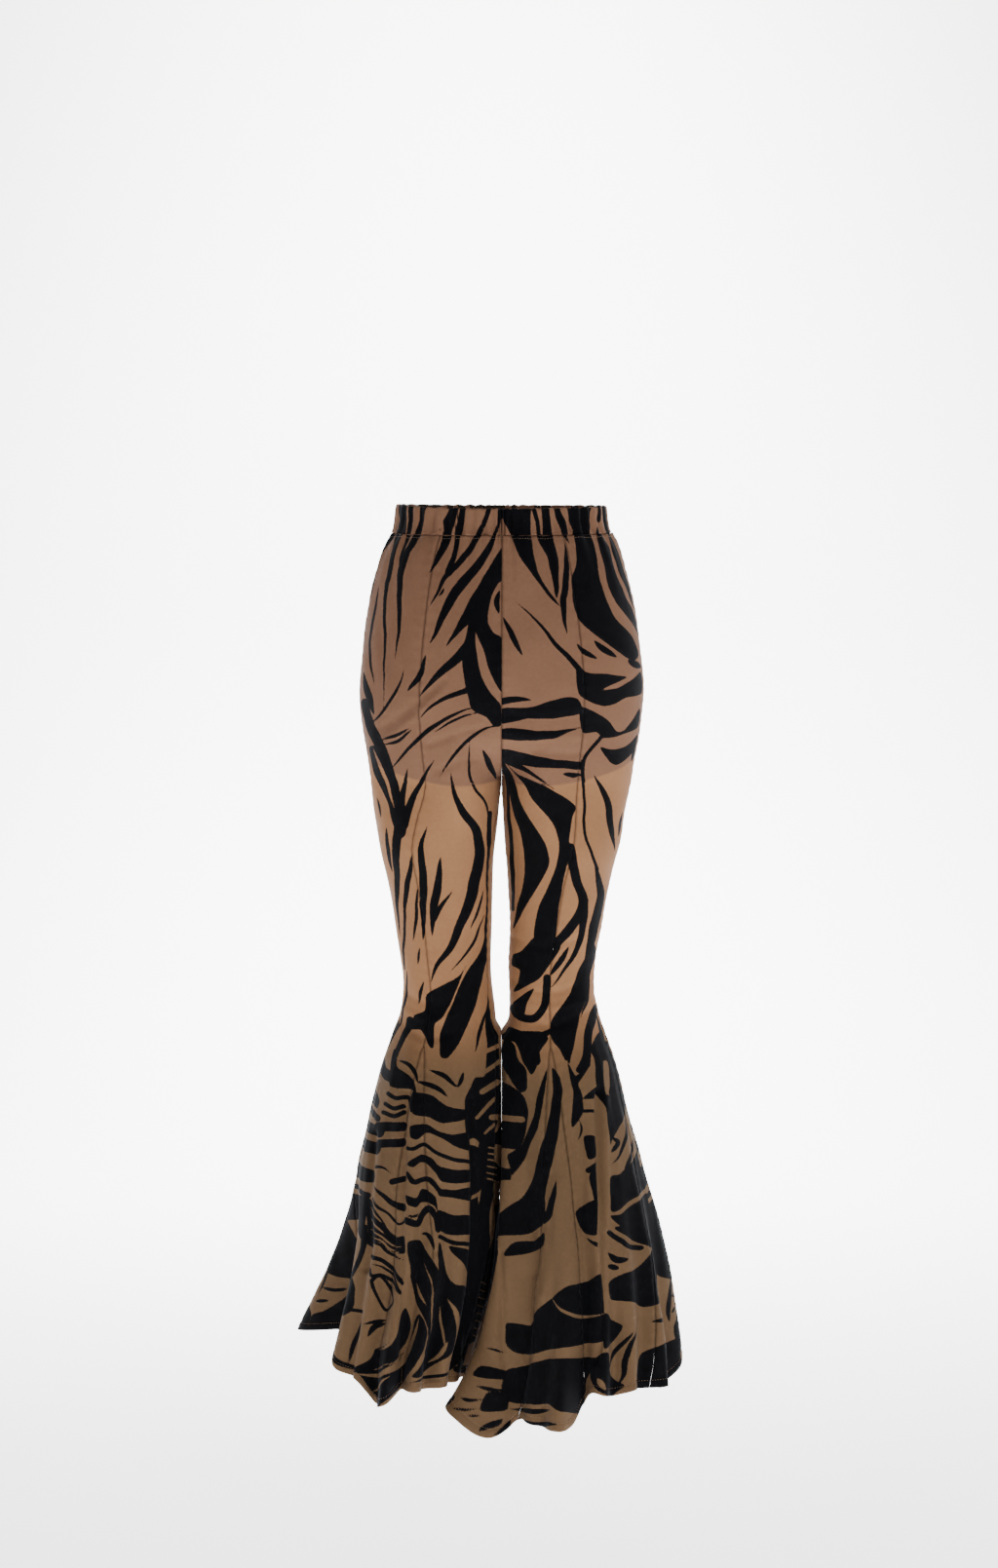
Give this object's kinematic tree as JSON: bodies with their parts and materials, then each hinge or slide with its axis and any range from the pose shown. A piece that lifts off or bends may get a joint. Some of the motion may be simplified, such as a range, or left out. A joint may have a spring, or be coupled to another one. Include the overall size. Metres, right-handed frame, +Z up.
{
  "type": "flared trousers",
  "caption": "High-waisted close-fitting trousers that flare from the knee in godets, with a gathered elastic waistband and a short lining, in their worn hollow shape.",
  "frame": {"origin": "centre of the waist opening, at the top edge of the waistband", "axes": "+Z up, +Y the way the wearer faces, +X the wearer's right"},
  "size_m": [0.4692, 0.2706, 1.0884],
  "materials": {
    "flocked_mesh": "tan stretch mesh with black flocked stripes, matt",
    "lining": "plain brown jersey, matt"
  },
  "bodies": {
    "root": {"waistband": "flocked_mesh", "back_inner_left": "flocked_mesh", "back_outer_left": "flocked_mesh", "front_outer_left": "flocked_mesh", "front_inner_left": "flocked_mesh", "back_inner_right": "flocked_mesh", "back_outer_right": "flocked_mesh", "front_outer_right": "flocked_mesh", "front_inner_right": "flocked_mesh", "godet_inseam_left": "flocked_mesh", "godet_mid_back_left": "flocked_mesh", "godet_outseam_left": "flocked_mesh", "godet_mid_front_left": "flocked_mesh", "godet_inseam_right": "flocked_mesh", "godet_mid_back_right": "flocked_mesh", "godet_outseam_right": "flocked_mesh", "godet_mid_front_right": "flocked_mesh", "lining_back": "lining", "lining_front": "lining"}
  },
  "joints": []
}
